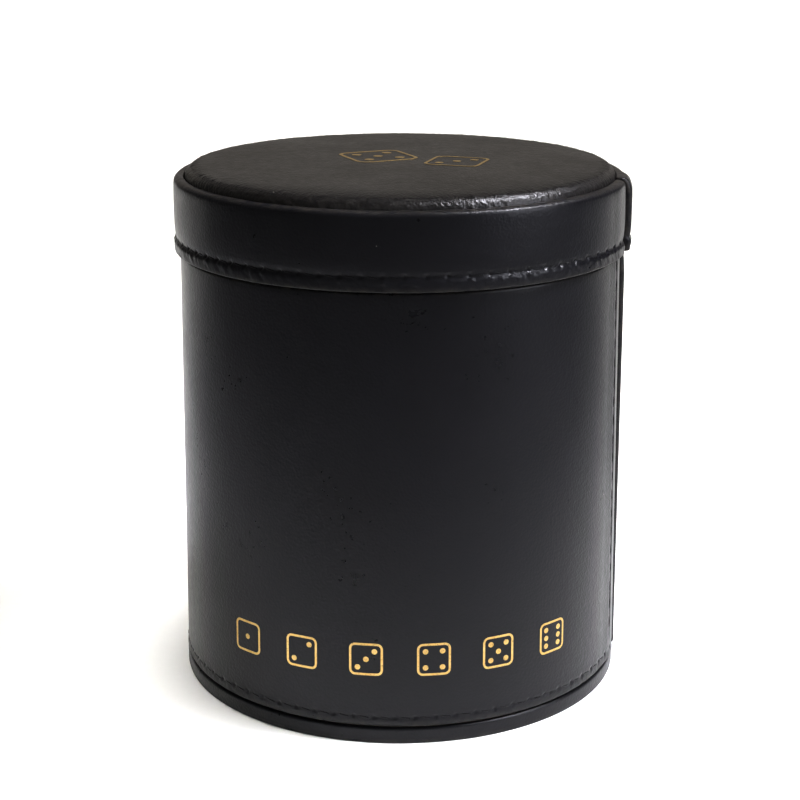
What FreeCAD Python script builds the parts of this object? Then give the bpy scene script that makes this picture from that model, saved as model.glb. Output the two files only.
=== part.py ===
import FreeCAD, Part
import math
import os
import re
import Sketcher

# Leather dice cup with a lift-off lid, in millimetres.
# +Z is up, the origin is the centre of the underside, and the decorated front faces -Y.
# Angles are counted about +Z from +X. The upright seams lie near +X.

# Driving dimensions: alias, value, what it is.
DIMENSIONS = [
    ("glue", 0.05, "film of glue between two layers"),
    ("wrap", 1.0, "leather of the cup's side"),
    ("body_radius", 44.85, "outside of the cup at its shoulder"),
    ("body_taper", 0.75, "how much wider the cup's side is at its foot"),
    ("shoulder", 89.2, "height of the shoulder that the lid stops above"),
    ("base_radius", 45.65, "outside of the covered base disc"),
    ("base_cover", 0.9, "leather of the base disc"),
    ("base_top", 3.2, "top of the base disc's leather edge"),
    ("board_top", 3.5, "top of the board in the base disc"),
    ("hem_bottom", 3.6, "lower edge of the side leather"),
    ("hem_radius", 45.75, "outside of the hem bead at the foot"),
    ("hem_stitch", 5.4, "height of the stitch row in the hem"),
    ("stitch_dip", 0.45, "how deep a stitch row pulls the leather in"),
    ("tube_bore", 42.0, "inside of the core tube"),
    ("collar_wall", 1.05, "board of the inner collar"),
    ("neck_leather", 0.6, "leather on the neck"),
    ("neck_top", 99.2, "top of the neck"),
    ("neck_leaf", 5.2, "how far the neck leather turns down inside"),
    ("lining", 0.8, "flannel on the cup's inner wall"),
    ("floor_foam", 2.0, "foam under the floor lining"),
    ("floor_flannel", 0.6, "flannel on the floor"),
    ("fold_step", 0.45, "thickness of the strip behind an upright seam"),
    ("fold_sweep", 8.0, "angle that a folded seam edge covers"),
    ("near_rise", 0.25, "how far the front seam edge stands proud"),
    ("far_rise", 1.0, "how far the rear seam edge stands proud"),
    ("far_rise_foot", 0.2, "the same at the cup's foot"),
    ("body_seam_near", -10.7, "angle of the cup seam's front edge"),
    ("body_seam_far", -8.3, "angle of the cup seam's rear edge"),
    ("lid_seam_near", -13.6, "angle of the lid seam's front edge"),
    ("lid_seam_far", -10.4, "angle of the lid seam's rear edge"),
    ("lid_radius", 45.85, "outside of the lid's side band"),
    ("lid_bottom", 89.5, "lower edge of the lid"),
    ("lid_hem_radius", 46.0, "outside of the lid's hem bead"),
    ("lid_stitch", 92.3, "height of the lid's stitch row"),
    ("lid_rim", 104.4, "top of the lid's side band"),
    ("lid_leather", 1.05, "leather of the lid's side band"),
    ("lid_leaf", 0.3, "skived leather turned in over the lid's rim"),
    ("lid_ply", 0.65, "card of each ring in the lid's wall"),
    ("lid_lining", 0.4, "flannel on the lid's inner wall"),
    ("lid_bore", 42.9, "inside of the lid's skirt"),
    ("ceiling", 99.8, "underside of the lid's ceiling"),
    ("ceiling_board", 1.0, "board of the lid's ceiling"),
    ("pad_board", 1.2, "board under the lid's pad"),
    ("pad_cover", 0.85, "leather over the lid's pad"),
    ("pad_radius", 43.6, "outside of the lid's pad"),
    ("crest", 106.8, "highest point of the lid"),
    ("thread", 0.5, "diameter of the sewing thread"),
    ("stitch_pitch", 4.0, "distance from stitch to stitch"),
    ("stitch_length", 2.7, "visible length of a stitch"),
    ("stitch_gap", 0.1, "clearance between a stitch and the leather under it"),
    ("seam_stitch_inset", 5.0, "distance of an upright stitch row from its seam edge"),
    ("foil", 0.08, "thickness of the gold foil"),
    ("foil_die", 6.6, "side of a die face in the foil row on the cup"),
    ("foil_height", 17.4, "height of the middle of the foil row"),
    ("lid_die", 13.5, "side of a die face in the foil on the lid"),
]

FOIL_STEP_DEG = 16.5    # angle from one die face to the next in the cup's row
FOIL_GAP = 0.04         # clearance between the foil and the side leather under it
LID_FOIL_GAP = 0.02     # the same on the lid
CUTTER_DEPTH = 10       # how deep a die face is made before the foil shell trims it
CUTTER_RADIUS = 40      # how far from the axis it starts
FOIL_LINE = 0.09        # width of a die face's outline, as a share of its side
PIP_RADIUS = 0.09       # radius of a pip, as a share of the die's side
PIP_OFFSET = 0.25       # distance of an outer pip from the middle, as a share of the side

# The lid's marks: which face, centre across and along, turn in degrees, share of lid_die.
LID_MARKS = [(5, -4.5, 4.5, 24, 1.0), (3, 11.5, -2.5, -18, 0.85)]

# Pips on a die's faces, in steps of PIP_OFFSET from the middle.
FACES = {
    1: [(0, 0)],
    2: [(-1, -1), (1, 1)],
    3: [(-1, -1), (0, 0), (1, 1)],
    4: [(-1, -1), (-1, 1), (1, -1), (1, 1)],
    5: [(-1, -1), (-1, 1), (0, 0), (1, -1), (1, 1)],
    6: [(-1, -1), (-1, 0), (-1, 1), (1, -1), (1, 0), (1, 1)],
}

doc = FreeCAD.newDocument("dice_cup")
UP = FreeCAD.Vector(0, 0, 1)
ORIGIN = FreeCAD.Vector(0, 0, 0)


def make_sheet():
    """Puts every driving dimension in the sheet, with its alias and a note."""
    sheet = doc.addObject("Spreadsheet::Sheet", "sizes")
    for row, (alias, value, note) in enumerate(DIMENSIONS, start=1):
        sheet.set(f"A{row}", note)
        sheet.set(f"B{row}", str(value))
        sheet.setAlias(f"B{row}", alias)
    doc.recompute()
    return sheet


sizes = make_sheet()


def size(formula):
    """Works out a formula of the sheet's aliases, as a plain number."""
    return float(sizes.evalExpression(formula))


def bound(formula):
    """Writes a formula of aliases as other objects name them."""
    return re.sub(r"[a-z_]+", lambda word: "sizes." + word.group(), formula)


def plane(body, role):
    """Finds one of a body's own origin planes."""
    return [feature for feature in body.Origin.OriginFeatures if feature.Role == role][0]


def section(body, name, corners, start):
    """Draws a closed outline of (radius, height) corners on an upright plane at an angle.

    Each corner is dimensioned from the axis and from the base plane.
    """
    sketch = body.newObject("Sketcher::SketchObject", name)
    sketch.AttachmentSupport = [(plane(body, "XZ_Plane"), "")]
    sketch.MapMode = "FlatFace"
    turn = FreeCAD.Rotation(FreeCAD.Vector(0, 1, 0), 0)
    sketch.AttachmentOffset = FreeCAD.Placement(ORIGIN, turn)
    sketch.setExpression("AttachmentOffset.Rotation.Angle", bound(start))
    points = [FreeCAD.Vector(size(radius), size(height), 0) for radius, height in corners]
    for index, point in enumerate(points):
        sketch.addGeometry(Part.LineSegment(point, points[(index + 1) % len(points)]), False)
    for index in range(len(points)):
        following = (index + 1) % len(points)
        sketch.addConstraint(Sketcher.Constraint("Coincident", index, 2, following, 1))
    for index, (radius, height) in enumerate(corners):
        for kind, formula, axis in (("DistanceX", radius, -2), ("DistanceY", height, -1)):
            if formula == "0":
                sketch.addConstraint(Sketcher.Constraint("PointOnObject", index, 1, axis))
                continue
            limit = Sketcher.Constraint(kind, -1, 1, index, 1, size(formula))
            number = sketch.addConstraint(limit)
            sketch.setExpression(f"Constraints[{number}]", bound(formula))
    return sketch


def turned(body, name, corners, start="0", sweep="360"):
    """Turns an outline about the cup's axis, from one angle through a sweep."""
    sketch = section(body, name + "_section", corners, start)
    solid = body.newObject("PartDesign::Revolution", name)
    solid.Profile = (sketch, [""])
    solid.ReferenceAxis = (sketch, ["V_Axis"])
    solid.Angle = min(size(sweep), 360)
    solid.setExpression("Angle", bound(sweep))
    return solid


def ring(label, corners, start="0", sweep="360"):
    """Makes a piece that is one turned outline."""
    body = doc.addObject("PartDesign::Body", label)
    turned(body, label + "_turned", corners, start, sweep)
    return body


def box_section(inner, outer, bottom, top):
    """Gives the four corners of a plain rectangular outline."""
    return [(inner, bottom), (outer, bottom), (outer, top), (inner, top)]


# ---------------------------------------------------------------- base disc

def make_base():
    """A board disc in a shallow leather dish, which is what the cup stands on."""
    ring("base_cover", [
        ("0", "0"),
        ("base_radius - 0.5", "0"),
        ("base_radius", "0.5"),
        ("base_radius", "base_top - 0.4"),
        ("base_radius - 0.4", "base_top"),
        ("base_radius - base_cover", "base_top"),
        ("base_radius - base_cover", "base_cover"),
        ("0", "base_cover"),
    ])
    ring("base_board", box_section(
        "0", "base_radius - base_cover - glue", "base_cover + glue", "board_top"))


# ---------------------------------------------------------------- cup wall

TUBE_OUTER = "body_radius - wrap - glue"
TUBE_TOP = "shoulder - wrap - glue"
FOOT_RADIUS = "body_radius + body_taper"
TUBE_FOOT = FOOT_RADIUS + " - wrap - glue"


def make_core_tube():
    """The rolled board tube that carries the side leather, a little wider at its foot."""
    ring("core_tube", [
        ("tube_bore", "board_top + glue"),
        (TUBE_FOOT, "board_top + glue"),
        (TUBE_OUTER, TUBE_TOP),
        ("tube_bore", TUBE_TOP),
    ])


def seam_end(body, name, rise_foot, rise_top, start):
    """Adds one folded edge of the side leather, which laps on the seam strip."""
    turned(body, name, [
        (TUBE_FOOT + " + fold_step + glue", "hem_bottom"),
        (FOOT_RADIUS + " + " + rise_foot, "hem_bottom"),
        ("body_radius + " + rise_top, "shoulder - 0.3"),
        ("body_radius + " + rise_top + " - 0.3", "shoulder"),
        (TUBE_OUTER + " + fold_step + glue", "shoulder"),
    ], start, "fold_sweep")


def make_outer_wrap():
    """The side leather: one sheet round the tube, with both ends folded at the seam."""
    body = doc.addObject("PartDesign::Body", "cup_outer_wrap")
    turned(body, "wrap_sheet", [
        (TUBE_FOOT + " + glue", "hem_bottom"),
        ("hem_radius", "hem_bottom"),
        ("hem_radius", "hem_stitch - 0.7"),
        ("hem_radius - stitch_dip", "hem_stitch"),
        (FOOT_RADIUS, "hem_stitch + 0.8"),
        ("body_radius", "shoulder - 0.4"),
        ("body_radius - 0.4", "shoulder"),
        ("tube_bore + glue", "shoulder"),
        ("tube_bore + glue", TUBE_TOP + " + glue"),
        (TUBE_OUTER + " + glue", TUBE_TOP + " + glue"),
    ], "body_seam_far + fold_sweep", "360 + body_seam_near - body_seam_far - 2 * fold_sweep")
    seam_end(body, "wrap_front_fold", "near_rise", "near_rise", "body_seam_near - fold_sweep")
    seam_end(body, "wrap_rear_fold", "far_rise_foot", "far_rise", "body_seam_far")


def make_cup_seam_backing():
    """The strip glued to the tube behind the upright seam."""
    ring("cup_seam_backing", [
        (TUBE_FOOT + " + glue", "hem_bottom + 0.1"),
        (TUBE_FOOT + " + fold_step", "hem_bottom + 0.1"),
        (TUBE_OUTER + " + fold_step", TUBE_TOP),
        (TUBE_OUTER + " + glue", TUBE_TOP),
    ], "body_seam_near - fold_sweep + 0.3", "body_seam_far - body_seam_near + 2 * fold_sweep - 0.6")


def make_neck():
    """The inner collar that stands above the shoulder, with its leather and linings."""
    collar_outer = "tube_bore - glue"
    collar_inner = "tube_bore - glue - collar_wall"
    collar_top = "neck_top - neck_leather - glue"
    leaf_inner = collar_inner + " - glue - neck_leather"
    leaf_bottom = "neck_top - neck_leaf"
    ring("neck_collar", box_section(collar_inner, collar_outer, "board_top + glue", collar_top))
    ring("neck_wrap", [
        ("tube_bore", "shoulder + glue"),
        ("tube_bore + neck_leather", "shoulder + glue"),
        ("tube_bore + neck_leather", "neck_top - 0.3"),
        ("tube_bore + neck_leather - 0.3", "neck_top"),
        (leaf_inner + " + 0.3", "neck_top"),
        (leaf_inner, "neck_top - 0.3"),
        (leaf_inner, leaf_bottom),
        (collar_inner + " - glue", leaf_bottom),
        (collar_inner + " - glue", collar_top + " + glue"),
        ("tube_bore", collar_top + " + glue"),
    ])
    floor_bottom = "board_top + glue"
    flannel_bottom = floor_bottom + " + floor_foam + glue"
    flannel_top = flannel_bottom + " + floor_flannel"
    floor_radius = collar_inner + " - glue"
    ring("floor_pad", box_section("0", floor_radius, floor_bottom, floor_bottom + " + floor_foam"))
    ring("floor_lining", box_section("0", floor_radius, flannel_bottom, flannel_top))
    ring("wall_lining", box_section(
        floor_radius + " - lining", floor_radius, flannel_top + " + glue", leaf_bottom + " - glue"))


# ---------------------------------------------------------------- lid

LID_RING_OUTER = "lid_radius - lid_leather - glue"
LID_LINING_OUTER = "lid_bore + lid_lining"
LEAF_OUTER = LID_RING_OUTER + " - lid_ply - glue"
RING_BOTTOM = "lid_bottom + 0.5 + glue"
CEILING_BOARD_BOTTOM = "ceiling + 0.55 + glue"
CEILING_BOARD_TOP = CEILING_BOARD_BOTTOM + " + ceiling_board"


def lid_end(body, name, rise, start):
    """Adds one folded edge of the lid's side band."""
    turned(body, name, [
        (LID_RING_OUTER + " + fold_step + glue", "lid_bottom"),
        ("lid_hem_radius + " + rise, "lid_bottom"),
        ("lid_radius + " + rise, "lid_stitch + 1"),
        ("lid_radius + " + rise, "lid_rim - 1.6"),
        ("lid_radius - 0.8 + " + rise, "lid_rim"),
        (LID_RING_OUTER + " + 0.1", "lid_rim"),
        (LID_RING_OUTER + " + 0.1", "lid_rim - 0.9"),
        (LID_RING_OUTER + " + fold_step + glue", "lid_rim - 1.1"),
    ], start, "fold_sweep")


def make_lid_side():
    """The lid's side: two card rings in a leather band turned in at both edges."""
    body = doc.addObject("PartDesign::Body", "lid_side_band")
    rim_inner = LEAF_OUTER + " - lid_leaf"
    turned(body, "band_sheet", [
        (LID_LINING_OUTER + " + glue", "lid_bottom"),
        ("lid_hem_radius - 0.3", "lid_bottom"),
        ("lid_hem_radius", "lid_bottom + 0.4"),
        ("lid_hem_radius", "lid_stitch - 0.8"),
        ("lid_hem_radius - stitch_dip", "lid_stitch"),
        ("lid_radius", "lid_stitch + 0.9"),
        ("lid_radius", "lid_rim - 2"),
        ("lid_radius - 0.5", "lid_rim - 0.5"),
        ("lid_radius - 1.2", "lid_rim"),
        (rim_inner + " + 0.3", "lid_rim"),
        (rim_inner, "lid_rim - 0.3"),
        (rim_inner, CEILING_BOARD_TOP + " + glue"),
        (LEAF_OUTER, CEILING_BOARD_TOP + " + glue"),
        (LEAF_OUTER, "lid_rim - 0.95"),
        (LID_RING_OUTER + " + glue", "lid_rim - 0.95"),
        (LID_RING_OUTER + " + glue", "lid_bottom + 0.5"),
        (LID_LINING_OUTER + " + glue", "lid_bottom + 0.5"),
    ], "lid_seam_far + fold_sweep", "360 + lid_seam_near - lid_seam_far - 2 * fold_sweep")
    lid_end(body, "band_front_fold", "near_rise", "lid_seam_near - fold_sweep")
    lid_end(body, "band_rear_fold", "far_rise", "lid_seam_far")
    ring("lid_seam_backing", box_section(
        LID_RING_OUTER + " + glue", LID_RING_OUTER + " + fold_step", RING_BOTTOM, "lid_rim - 1.2"),
        "lid_seam_near - fold_sweep + 0.3",
        "lid_seam_far - lid_seam_near + 2 * fold_sweep - 0.6")
    ring("lid_ring", box_section(
        LID_RING_OUTER + " - lid_ply", LID_RING_OUTER, RING_BOTTOM, "lid_rim - 1"))
    ring("lid_inner_ring", box_section(
        LID_LINING_OUTER + " + glue", LEAF_OUTER, RING_BOTTOM, CEILING_BOARD_BOTTOM + " - glue"))
    ring("lid_skirt_lining", box_section(
        "lid_bore", LID_LINING_OUTER, "lid_bottom + 0.1", "ceiling - glue"))


def make_lid_top():
    """The lid's ceiling disc, and on it the padded disc that the top leather covers."""
    ring("lid_ceiling_lining", box_section(
        "0", LID_LINING_OUTER, "ceiling", "ceiling + 0.55"))
    ring("lid_ceiling_board", box_section(
        "0", LEAF_OUTER, CEILING_BOARD_BOTTOM, CEILING_BOARD_TOP))
    flap_bottom = CEILING_BOARD_TOP + " + glue"
    flap_top = flap_bottom + " + pad_cover"
    board_bottom = flap_top + " + glue"
    board_top = board_bottom + " + pad_board"
    board_radius = "pad_radius - pad_cover - glue"
    ring("lid_top_board", box_section("0", board_radius, board_bottom, board_top))
    ring("lid_foam_pad", [
        ("0", board_top + " + glue"),
        (board_radius, board_top + " + glue"),
        ("pad_radius - 1.3", "crest - pad_cover - 1.5"),
        ("pad_radius - 2.9", "crest - pad_cover - 0.75"),
        ("pad_radius - 8", "crest - pad_cover - 0.4"),
        ("0", "crest - pad_cover - glue"),
    ])
    ring("lid_top_cover", [
        ("pad_radius - 9.5", flap_bottom),
        ("pad_radius", flap_bottom),
        ("pad_radius", "crest - 2.8"),
        ("pad_radius - 0.5", "crest - 1.5"),
        ("pad_radius - 2.2", "crest - 0.65"),
        ("pad_radius - 8", "crest - 0.3"),
        ("0", "crest"),
        ("0", "crest - pad_cover"),
        ("pad_radius - 8", "crest - pad_cover - 0.35"),
        ("pad_radius - 2.8", "crest - pad_cover - 0.7"),
        ("pad_radius - 1.2", "crest - pad_cover - 1.4"),
        (board_radius + " + glue", "crest - pad_cover - 2.3"),
        (board_radius + " + glue", flap_top),
        ("pad_radius - 9.5", flap_top),
    ])


# ---------------------------------------------------------------- stitches

def stitch():
    """Makes one stitch lying along X about the origin, a short rod."""
    radius = size("thread") / 2
    length = size("stitch_length")
    start = FreeCAD.Vector(-length / 2, 0, 0)
    return Part.makeCylinder(radius, length, start, FreeCAD.Vector(1, 0, 0))


def stitch_feature(label, places):
    """Puts one stitch at each (radius, height, angle, upright) place, as one group."""
    pattern = stitch()
    stitches = []
    for radius, height, angle, upright in places:
        lie = FreeCAD.Rotation(FreeCAD.Vector(0, 1, 0), 90 if upright else 0)
        face = FreeCAD.Rotation(UP, angle + 90)
        centre = FreeCAD.Rotation(UP, angle).multVec(FreeCAD.Vector(radius, 0, height))
        place = FreeCAD.Placement(centre, face.multiply(lie))
        stitches.append(pattern.transformed(place.toMatrix(), copy=True))
    feature = doc.addObject("Part::Feature", label)
    feature.Shape = Part.makeCompound(stitches)
    feature.Placement = FreeCAD.Placement()


def hem_row(label, groove_radius, height, seam_near, seam_far):
    """A row of level stitches round a hem, from one side of the upright seam to the other."""
    margin = size("fold_sweep") + 3
    start = size(seam_far) + margin
    sweep = 360 + size(seam_near) - size(seam_far) - 2 * margin
    radius = size(groove_radius) + size("thread") / 2 + size("stitch_gap")
    count = round(math.radians(sweep) * radius / size("stitch_pitch"))
    places = [(radius, size(height), start + sweep * index / count, False)
              for index in range(count + 1)]
    stitch_feature(label, places)


def seam_row(label, angle, rise_foot, rise_top):
    """An upright row of stitches beside the cup's seam."""
    low = size("hem_stitch") + 4
    high = size("shoulder") - 3
    count = int((high - low) / size("stitch_pitch"))
    places = []
    for index in range(count + 1):
        height = low + (high - low) * index / count
        share = (height - size("hem_bottom")) / (size("shoulder") - size("hem_bottom"))
        foot = size(FOOT_RADIUS) + size(rise_foot)
        top = size("body_radius") + size(rise_top)
        leather = foot + (top - foot) * share
        places.append((leather + size("thread") / 2 + size("stitch_gap"), height, angle, True))
    stitch_feature(label, places)


def make_stitches():
    """The four rows of stitching."""
    inset = math.degrees(size("seam_stitch_inset") / size("body_radius"))
    hem_row("cup_hem_thread", "hem_radius - stitch_dip", "hem_stitch",
            "body_seam_near", "body_seam_far")
    hem_row("lid_hem_thread", "lid_hem_radius - stitch_dip", "lid_stitch",
            "lid_seam_near", "lid_seam_far")
    seam_row("cup_seam_thread_front", size("body_seam_near") - inset, "near_rise", "near_rise")
    seam_row("cup_seam_thread_rear", size("body_seam_far") + inset, "far_rise_foot", "far_rise")


# ---------------------------------------------------------------- gold foil

def die_face(side, number, depth):
    """Makes one die face standing on the XY plane about the origin: outline and pips."""
    outer = Part.makeBox(side, side, depth, FreeCAD.Vector(-side / 2, -side / 2, 0))
    outer = outer.makeFillet(side * 0.18, upright_edges(outer))
    hole = side * (1 - 2 * FOIL_LINE)
    inner = Part.makeBox(hole, hole, depth, FreeCAD.Vector(-hole / 2, -hole / 2, 0))
    inner = inner.makeFillet(side * 0.12, upright_edges(inner))
    pieces = [outer.cut(inner)]
    for across, along in FACES[number]:
        centre = FreeCAD.Vector(across * side * PIP_OFFSET, along * side * PIP_OFFSET, 0)
        pieces.append(Part.makeCylinder(side * PIP_RADIUS, depth, centre))
    return pieces


def upright_edges(box):
    """Finds the edges of a box that run along Z."""
    return [edge for edge in box.Edges
            if abs(edge.tangentAt(edge.FirstParameter).z) > 0.99]


def foil_shell(gap):
    """A thin tapered shell just outside the side leather, from foot to shoulder."""
    low, high = size("hem_stitch + 1"), size("shoulder - 1")
    taper = size("body_taper") / (size("shoulder") - size("hem_stitch") - 1.2)

    def cone(extra):
        foot = size(FOOT_RADIUS) - taper * (low - size("hem_stitch") - 0.8) + extra
        top = foot - taper * (high - low)
        return Part.makeCone(foot, top, high - low, FreeCAD.Vector(0, 0, low))

    return cone(gap + size("foil")).cut(cone(gap))


def make_foil():
    """The gold decoration: a row of six die faces on the cup and two on the lid."""
    shell = foil_shell(FOIL_GAP)
    marks = []
    for number in sorted(FACES):
        angle = (number - 3.5) * FOIL_STEP_DEG
        stand = FreeCAD.Placement(FreeCAD.Vector(0, -CUTTER_RADIUS, size("foil_height")),
                                  FreeCAD.Rotation(FreeCAD.Vector(1, 0, 0), 90))
        turn = FreeCAD.Placement(ORIGIN, FreeCAD.Rotation(UP, angle))
        for piece in die_face(size("foil_die"), number, CUTTER_DEPTH):
            piece.Placement = turn.multiply(stand).multiply(piece.Placement)
            marks.append(piece.common(shell))
    feature = doc.addObject("Part::Feature", "cup_foil_motif")
    feature.Shape = Part.makeCompound([solid for mark in marks for solid in mark.Solids])

    lid_marks = []
    for number, across, along, turn, share in LID_MARKS:
        place = FreeCAD.Placement(FreeCAD.Vector(across, along, size("crest") + LID_FOIL_GAP),
                                  FreeCAD.Rotation(UP, turn))
        for piece in die_face(size("lid_die") * share, number, size("foil")):
            piece.Placement = place.multiply(piece.Placement)
            lid_marks.append(piece)
    feature = doc.addObject("Part::Feature", "lid_foil_motif")
    feature.Shape = Part.makeCompound([solid for mark in lid_marks for solid in mark.Solids])


# ---------------------------------------------------------------- build and write

def check(pieces):
    """Stops unless every object recomputed and every piece is a sound solid."""
    for item in doc.Objects:
        if "Invalid" in item.State or "Error" in item.State:
            raise RuntimeError(f"{item.Label} did not recompute: {item.State}")
    for piece in pieces:
        shape = piece.Shape
        if shape.isNull() or not shape.isValid() or not shape.Solids:
            raise RuntimeError(f"{piece.Label} is not a sound solid")
        if shape.Volume <= 0:
            raise RuntimeError(f"{piece.Label} has no volume")


def main():
    """Builds every piece, checks it and writes one file for each."""
    make_base()
    make_core_tube()
    make_outer_wrap()
    make_cup_seam_backing()
    make_neck()
    make_lid_side()
    make_lid_top()
    make_stitches()
    make_foil()
    doc.recompute()
    pieces = [item for item in doc.Objects if item.TypeId in ("PartDesign::Body", "Part::Feature")]
    check(pieces)
    os.makedirs("parts", exist_ok=True)
    for piece in pieces:
        piece.Shape.exportStep(os.path.join("parts", piece.Label + ".step"))
        box = piece.Shape.BoundBox
        print(f"{piece.Label}: {len(piece.Shape.Solids)} solids, {piece.Shape.Volume:.1f} mm3, "
              f"z {box.ZMin:.2f} to {box.ZMax:.2f}, x {box.XMin:.2f} to {box.XMax:.2f}")


main()
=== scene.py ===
"""Leather dice cup with a lift-off lid: looks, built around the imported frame.

Lengths in this file are millimetres, angles are degrees about +Z from +X, and an outline is a
list of (radius, height) points. Every mesh is scaled to metres when it becomes a piece.
"""

import logging
import math
from dataclasses import dataclass
from enum import Enum
from typing import Any, Callable, Optional

import bmesh
import bpy
from mathutils import Matrix, Vector, noise


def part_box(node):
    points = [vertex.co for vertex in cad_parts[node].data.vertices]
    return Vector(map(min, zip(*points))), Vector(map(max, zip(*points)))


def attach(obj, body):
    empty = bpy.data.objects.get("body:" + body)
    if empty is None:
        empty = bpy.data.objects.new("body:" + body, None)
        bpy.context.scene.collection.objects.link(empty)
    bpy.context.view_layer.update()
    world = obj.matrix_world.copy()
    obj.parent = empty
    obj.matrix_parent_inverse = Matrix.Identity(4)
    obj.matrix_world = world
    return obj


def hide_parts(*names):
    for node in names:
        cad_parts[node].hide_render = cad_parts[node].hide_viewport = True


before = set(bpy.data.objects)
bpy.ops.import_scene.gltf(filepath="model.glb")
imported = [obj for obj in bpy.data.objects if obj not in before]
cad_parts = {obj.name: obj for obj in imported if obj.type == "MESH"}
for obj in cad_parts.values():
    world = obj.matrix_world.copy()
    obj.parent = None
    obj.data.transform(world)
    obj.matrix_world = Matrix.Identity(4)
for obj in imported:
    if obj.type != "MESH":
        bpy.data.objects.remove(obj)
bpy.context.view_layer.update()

LOG = logging.getLogger("dice_cup")
METRES_PER_MM = 0.001
SECTORS = 12
Outline = list[tuple[float, float]]
SocketPair = tuple[bpy.types.NodeSocket, bpy.types.NodeSocket]
PolarRule = Callable[[float, float, float], tuple[float, float, float]]


# ------------------------------------------------------------------ small tools

def box_mm(name: str) -> tuple[Vector, Vector]:
    """Gives a node's lowest and highest corners in millimetres.

    Args:
        name: the node's name.

    Returns:
        The lowest corner and the highest corner.
    """
    low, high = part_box(name)
    return Vector(low) / METRES_PER_MM, Vector(high) / METRES_PER_MM


def arc(centre: tuple[float, float], radius: float, start: float, end: float,
        steps: int) -> Outline:
    """Makes a stretch of outline along a circle.

    Args:
        centre: the circle's centre, as (radius, height).
        radius: the circle's radius.
        start: the first angle, counted from outwards, turning up.
        end: the last angle.
        steps: how many straight pieces the stretch has.

    Returns:
        The points, both ends included.
    """
    turns = [math.radians(start + (end - start) * i / steps) for i in range(steps + 1)]
    return [(centre[0] + radius * math.cos(t), centre[1] + radius * math.sin(t)) for t in turns]


def ramp(value: float, low: float, high: float) -> float:
    """Eases from 0 at low to 1 at high, with level ends."""
    share = min(max((value - low) / (high - low), 0.0), 1.0)
    return share * share * (3 - 2 * share)


def bell(distance: float, width: float) -> float:
    """Falls smoothly from 1 at no distance to near 0 past twice the width."""
    return math.exp(-(distance / width) ** 2)


def spread(low: float, high: float, count: int) -> list[float]:
    """Gives count values from low to high, both included."""
    return [low + (high - low) * i / (count - 1) for i in range(count)]


def turned(outline: Outline, steps: int, start: float = 0.0,
           sweep: float = 360.0) -> bmesh.types.BMesh:
    """Spins a closed outline about the cup's axis into a closed solid.

    One sector is spun and then copied round, which is many times quicker than one long spin.

    Args:
        outline: the closed outline, without its first point repeated.
        steps: how many steps the turn has, a multiple of the number of sectors.
        start: the angle that the turn begins at.
        sweep: the angle that it covers, 360 for a full turn.

    Returns:
        The mesh, with its normals pointing out.
    """
    mesh = bmesh.new()
    begin = math.radians(start)
    corners = [mesh.verts.new((r * math.cos(begin), r * math.sin(begin), z)) for r, z in outline]
    following = corners[1:] + corners[:1]
    edges = [mesh.edges.new(pair) for pair in zip(corners, following)]
    part = math.radians(sweep / SECTORS)
    bmesh.ops.spin(mesh, geom=corners + edges, cent=(0, 0, 0), axis=(0, 0, 1), dvec=(0, 0, 0),
                   angle=part, steps=steps // SECTORS)
    sector = mesh.verts[:] + mesh.edges[:] + mesh.faces[:]
    for index in range(1, SECTORS):
        copied = bmesh.ops.duplicate(mesh, geom=sector)["geom"]
        bmesh.ops.rotate(mesh, verts=[item for item in copied if isinstance(item, bmesh.types.BMVert)],
                         cent=(0, 0, 0), matrix=Matrix.Rotation(part * index, 3, "Z"))
    bmesh.ops.remove_doubles(mesh, verts=mesh.verts, dist=1e-4)
    if sweep < 360:
        rims = [edge for edge in mesh.edges if edge.is_boundary]
        bmesh.ops.holes_fill(mesh, edges=rims, sides=0)
    bmesh.ops.dissolve_degenerate(mesh, edges=mesh.edges, dist=1e-5)
    bmesh.ops.recalc_face_normals(mesh, faces=mesh.faces)
    return mesh


def shape_polar(mesh: bmesh.types.BMesh, rule: PolarRule) -> None:
    """Moves every vertex by a rule on its radius, angle and height.

    Args:
        mesh: the mesh to shape.
        rule: takes (radius, angle, height) and returns the new three, angles in degrees.
    """
    for vertex in mesh.verts:
        radius = math.hypot(vertex.co.x, vertex.co.y)
        angle = math.degrees(math.atan2(vertex.co.y, vertex.co.x))
        radius, angle, height = rule(radius, angle, vertex.co.z)
        turn = math.radians(angle)
        vertex.co = (radius * math.cos(turn), radius * math.sin(turn), height)


def ripple(x: float, y: float, z: float, size: float) -> float:
    """Gives smooth noise between about -1 and 1, with bumps of about the given size."""
    return noise.noise(Vector((x, y, z)) / size)


# ------------------------------------------------------------------ finishes

def linear(code: str, alpha: float = 1.0) -> tuple[float, float, float, float]:
    """Turns an sRGB hex colour into the linear colour that shaders take.

    Args:
        code: the colour, such as "#1A1918".
        alpha: the fourth value.

    Returns:
        Red, green, blue and alpha.
    """
    parts = [int(code[i:i + 2], 16) / 255 for i in (1, 3, 5)]
    lin = [p / 12.92 if p <= 0.04045 else ((p + 0.055) / 1.055) ** 2.4 for p in parts]
    return lin[0], lin[1], lin[2], alpha


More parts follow.
